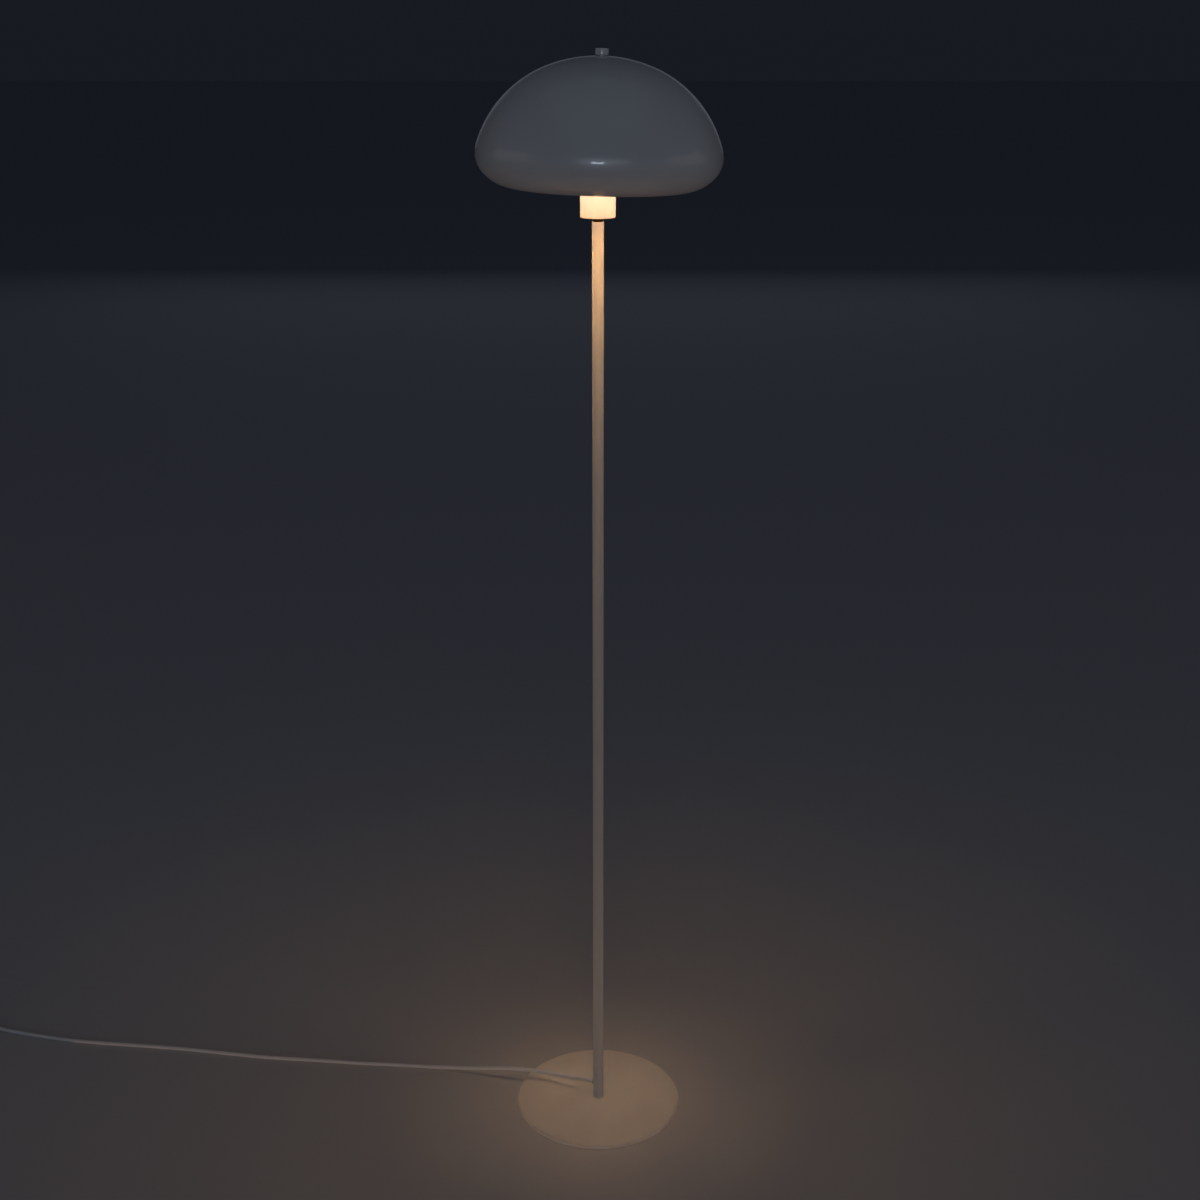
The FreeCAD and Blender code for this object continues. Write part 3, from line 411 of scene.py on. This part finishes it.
knob_low = crown_height + 0.0003
knob_foot, knob_radius = 0.0066, 0.0082
knob_seam = knob_low + 0.0009
knob_high = knob_seam + 0.0074
knob_edge = 0.0005
knob = turned("knob", eased([
    (0, knob_low), (knob_foot, knob_low, 0.0002), (knob_foot, knob_seam, 0.0001),
    (knob_radius, knob_seam, knob_edge), (knob_radius, knob_high, knob_edge), (0, knob_high)], 6),
    around=96, closed=False)
lean_over(knob)
coat(knob, lacquer("knob_lacquer"))
wear_body(knob, "knob", "finial_knob", slot="white_lacquer")

# ---- Cord ----------------------------------------------------------------------------------------
# Round white two-core mains cord, 5.5 mm thick, with a smooth sheath: out of the pole, down over the
# base's edge and along the floor in a slack curve to the foot switch, where a sleeve holds it.

cord_thickness = 0.0055
route_to_switch = np.array([
    (-3.03, 1.75, 31), (-17, 9.81, 31), (-43, 23.6, 24), (-78, 37.6, 22.4), (-124, 50, 21.2),
    (-178, 63.8, 12.3), (-240, 79, 2.85), (-305, 85.5, 2.85), (-372, 90.5, 2.85), (-440, 98.5, 2.85),
    (-508, 104.5, 2.85), (-576, 115.5, 2.85), (-645, 128, 2.85), (-714, 137, 2.85),
    (-783, 144.5, 2.85), (-852, 154.5, 2.85), (-906, 168, 2.85), (-952, 181, 2.85),
    (-996, 192.2, 8), (-1040, 202.5, 8)]) / 1000


def cord(name, route):
    """A round cord whose NURBS line has these control points."""
    line = bpy.data.curves.new(name, "CURVE")
    line.dimensions = "3D"
    line.bevel_depth = cord_thickness / 2
    line.bevel_resolution = 8
    line.resolution_u = 8
    line.use_fill_caps = True
    spline = line.splines.new("NURBS")
    spline.points.add(len(route) - 1)
    spline.points.foreach_set("co", np.c_[route, np.ones(len(route))].ravel())
    spline.order_u = 3
    spline.use_endpoint_u = True
    piece = bpy.data.objects.new(name, line)
    bpy.context.scene.collection.objects.link(piece)
    return piece


cord_sheath = finish("cord_sheath", (0.88, 0.88, 0.89), 0.36, IOR=1.5, Coat_Weight=0.35,
                     Coat_Roughness=0.2)
matt = noise(cord_sheath, 1200, 2)
wire(cord_sheath, tinted(cord_sheath, noise(cord_sheath, 14, 2), (0.3, (0.84, 0.84, 0.85)),
                         (0.7, (0.89, 0.89, 0.90))), "Base Color")
wire(cord_sheath, spread(cord_sheath, matt, 0.30, 0.42), "Roughness")
wire(cord_sheath, dented(cord_sheath, matt, 0.00003), "Normal")
floor_cord = cord("floor_cord", route_to_switch)
coat(floor_cord, cord_sheath)
wear_body(floor_cord, "stand", "cord_to_switch", slot="cord_white")

# ---- Coil ----------------------------------------------------------------------------------------
# The rest of the same cord, put away: out of the switch, round into six turns in two layers, tied
# with a strap, and out to the plug.

switch_way = np.array([-0.9737, 0.2279, 0])
switch_length = 0.070
switch_end = route_to_switch[-1] + switch_length * switch_way
corner = switch_end + 0.045 * switch_way
low_layer, layer_rise = 0.00405, 0.0060
lead_in = np.array([switch_end, corner, (-1.1943, 0.2133, 0.0054), (-1.2134, 0.1828, low_layer),
                    (-1.2144, 0.1528, low_layer)])
coil_turns, least_radius, pitch, ease = 6, 0.0219, 0.0061, 0.6
coil_sweep = 2 * math.pi * coil_turns
points_a_turn = 20


def coil_line(turned_by):
    """A spiral that runs in for half of its turns and out again one layer higher: its radius is
    least_radius + pitch * hypot(angle from the middle turn, ease) / 2 pi. It climbs smoothly over
    the half turn in its middle."""
    off = turned_by - coil_sweep / 2
    radius = least_radius + pitch / (2 * math.pi) * np.hypot(off, ease)
    share = np.clip(off / math.pi + 0.5, 0, 1)
    angle = coil_first + turned_by
    return np.stack([radius * np.cos(angle), radius * np.sin(angle),
                     low_layer + layer_rise * share**2 * (3 - 2 * share)], -1)


# The coil is turned so that it carries on in the direction in which the lead reaches it.
in_way = lead_in[-1] - lead_in[-2]
in_way /= np.linalg.norm(in_way)
coil_first = 0.0
first_radius = np.hypot(*coil_line(np.array(0.0))[:2])
little = 1e-5
slope = (first_radius - np.hypot(*coil_line(np.array(little))[:2])) / little / first_radius
coil_first = math.atan2(in_way[1], in_way[0]) - math.pi / 2 - math.atan(slope)
coil_middle = lead_in[-1] + in_way * cord_thickness - coil_line(np.array(0.0))
coil_middle[2] = 0
turns = coil_middle + coil_line(np.linspace(0, coil_sweep, coil_turns * points_a_turn + 1))
out_way = coil_line(np.array(coil_sweep)) - coil_line(np.array(coil_sweep - little))
out_way /= np.linalg.norm(out_way)

# It leaves the last turn straight, comes down to the plug's axis and bends a little on the way.
lead_out = turns[-1] + out_way * cord_thickness
out_heading = math.atan2(out_way[1], out_way[0])
tail = [lead_out]
plug_axis, tail_bend = 0.0069, math.radians(7)
for k, run in enumerate((0.016, 0.024, 0.026, 0.024)):
    heading = out_heading + tail_bend * max(k - 1, 0)
    there = tail[-1] + run * np.array([math.cos(heading), math.sin(heading), 0])
    there[2] = lead_out[2] if k == 0 else plug_axis
    tail.append(there)
rest_route = np.concatenate([lead_in, turns, tail])
rest_cord = cord("coiled_cord", rest_route)
coat(rest_cord, cord_sheath)
wear_body(rest_cord, "stand", "cord_to_coil", "cord_coil", "cord_to_plug", slot="cord_white")

# ---- Foot switch and plug ------------------------------------------------------------------------
# A flat foot switch of two moulded shells, screwed together, with a grey press button and feet and a
# tapered sleeve round the cord at each end. The flat plug is moulded round its two pins, which wear
# grey sleeves next to the body. A black hook strap ties the coil.

plastic = finish("white_plastic", (0.74, 0.73, 0.70), 0.38)
moulded = noise(plastic, 1400, 2)
wire(plastic, spread(plastic, moulded, 0.33, 0.46), "Roughness")
wire(plastic, dented(plastic, moulded, 0.00003), "Normal")
for part in ("switch_cover", "switch_boots", "plug_body"):
    recoat(part, plastic)
shell_grey = finish("grey_white_plastic", (0.60, 0.59, 0.57), 0.5)
wire(shell_grey, spread(shell_grey, noise(shell_grey, 1100, 2), 0.44, 0.56), "Roughness")
wire(shell_grey, dented(shell_grey, noise(shell_grey, 1100, 2), 0.00004), "Normal")
recoat("switch_base", shell_grey)
grey = finish("grey_plastic", (0.30, 0.30, 0.30), 0.42)
wire(grey, dented(grey, noise(grey, 1400, 2), 0.00003), "Normal")
for part in ("switch_button", "switch_core", "switch_feet", "plug_sleeves"):
    recoat(part, grey)
for part in ("switch_screws", "plug_pins"):
    recoat(part, zinc)
strap = finish("hook_strap", (0.02, 0.02, 0.022), 0.9)
wire(strap, dented(strap, noise(strap, 1500, 2), 0.0002), "Normal")
recoat("coil_tie", strap)

# ---- Floor, lights and camera --------------------------------------------------------------------
# A plain pale floor in a dim room: large cool soft boxes far out on all sides, and the lamp's own
# warm light, which comes down out of the shade's mouth and back up from the floor round the base.

floor_reach = 60
floor_mesh = bpy.data.meshes.new("floor")
floor_mesh.from_pydata([(-floor_reach, -floor_reach, 0), (floor_reach, -floor_reach, 0),
                        (floor_reach, floor_reach, 0), (-floor_reach, floor_reach, 0)], [], [(0, 1, 2, 3)])
floor = bpy.data.objects.new("floor", floor_mesh)
bpy.context.scene.collection.objects.link(floor)
coat(floor, finish("floor_paint", (0.54, 0.55, 0.57), 0.8))

# The room gives a little less light from low down than from above.
dimmest, brightest = 0.0125, 0.018
world = bpy.data.worlds.new("room")
world.use_nodes = True
sky = world.node_tree.nodes["Background"]
sky.inputs["Color"].default_value = (0.70, 0.84, 1.20, 1)
way_up = put(world, "SeparateXYZ", Vector=put(world, "TexCoord").outputs["Generated"]).outputs[2]
world.node_tree.links.new(spread(world, way_up, dimmest, brightest, 0.0, 0.4), sky.inputs["Strength"])
bpy.context.scene.world = world


def lamp(name, place, aim, size, watts, colour, only_gloss=False, shape="RECTANGLE"):
    """A soft box at place that faces aim, so many metres wide and high. The camera doesn't see the
    box itself, and one that is only_gloss shows only in glossy surfaces."""
    light = bpy.data.lights.new(name, "AREA")
    light.shape = shape
    light.size, light.size_y = size
    light.energy = watts
    light.color = colour
    box = bpy.data.objects.new(name, light)
    box.location = place
    box.rotation_euler = (Vector(aim) - Vector(place)).to_track_quat("-Z", "Y").to_euler()
    bpy.context.scene.collection.objects.link(box)
    box.visible_camera = False
    box.visible_diffuse = not only_gloss
    return box


# Soft boxes far out, and one small bright one that only the gloss shows.
cool, pale, window_blue = (0.74, 0.84, 1.0), (0.88, 0.85, 0.88), (0.70, 0.84, 1.0)
lamp("top_box", (0, -0.3, 3.4), (0, 0, 0.6), (2.6, 2.6), 1.4, cool)
lamp("front_box", (0.66, -7.9, 1.75), (0, 0, 1.0), (6.6, 2.8), 33.0, cool)
lamp("left_box", (-6.6, -0.44, 1.9), (0, 0, 0.9), (5.6, 3.0), 13.0, pale)
lamp("right_box", (6.6, -0.44, 1.9), (0, 0, 0.9), (5.6, 3.0), 13.0, pale)
lamp("back_box", (0, 9.0, 2.4), (0, 0, 0.9), (7.2, 2.4), 6.5, cool)
lamp("window_glint", (-0.045, -2.75, 1.286), (0, -0.154, 1.377), (0.5, 0.26), 6.8, window_blue,
     only_gloss=True)

# The lamp's own light: five small lights round the shade's mouth shine down and five larger ones up
# into the shade, and three narrow ones light the base. A sheet just over the floor stands for what
# the lit floor throws back, and a small one under the glass for the light through its floor.
warm, pool_warm = (1.0, 0.58, 0.26), (1.0, 0.64, 0.39)
mouth_height, inner_height = 1.337, 1.345
mouth_ring, inner_ring, pool_ring = 0.0895, 0.060, 0.092
up = Vector((0, 0, 1))
for k in range(5):
    around = math.radians(72 * k - 90)
    out = Vector((math.cos(around), math.sin(around), 0))
    place = out * mouth_ring + up * mouth_height
    glow = lamp("mouth_glow_%d" % k, place, place - out * 0.1 - up, (0.024, 0.024), 0.075, warm,
                shape="DISK")
    glow.data.spread = math.radians(112)
    inner = out * inner_ring + up * inner_height
    lamp("inner_glow_%d" % k, inner, inner + up, (0.040, 0.040), 0.12, warm, shape="DISK")
for k in range(3):
    around = math.radians(120 * k + 30)
    place = (pool_ring * math.cos(around), pool_ring * math.sin(around), mouth_height)
    pool = lamp("pool_glow_%d" % k, place, (place[0], place[1], 0), (0.020, 0.020), 0.0145, pool_warm,
                shape="DISK")
    pool.data.spread = math.radians(24)
lamp("floor_bounce", (0, 0, 0.0008), (0, 0, 2), (1.7, 1.7), 0.85, (1.0, 0.56, 0.28), shape="DISK")
lamp("glass_glow", (0, 0, 1.2996), (0, 0, 0), (0.044, 0.044), 0.0095, (1.0, 0.60, 0.33), shape="DISK")

# A 50 mm lens just above the height of the lamp, 2.1 m in front of it, looks down at it.
eye = bpy.data.objects.new("camera", bpy.data.cameras.new("camera"))
eye.data.lens = 50
eye.data.sensor_width = 36
looks_down = 18.69
eye.location = (0.0026, -2.133, 1.515)
eye.rotation_euler = (math.radians(90 - looks_down), 0, 0)
bpy.context.scene.collection.objects.link(eye)
bpy.context.scene.camera = eye
bpy.context.scene.view_settings.view_transform = "Standard"
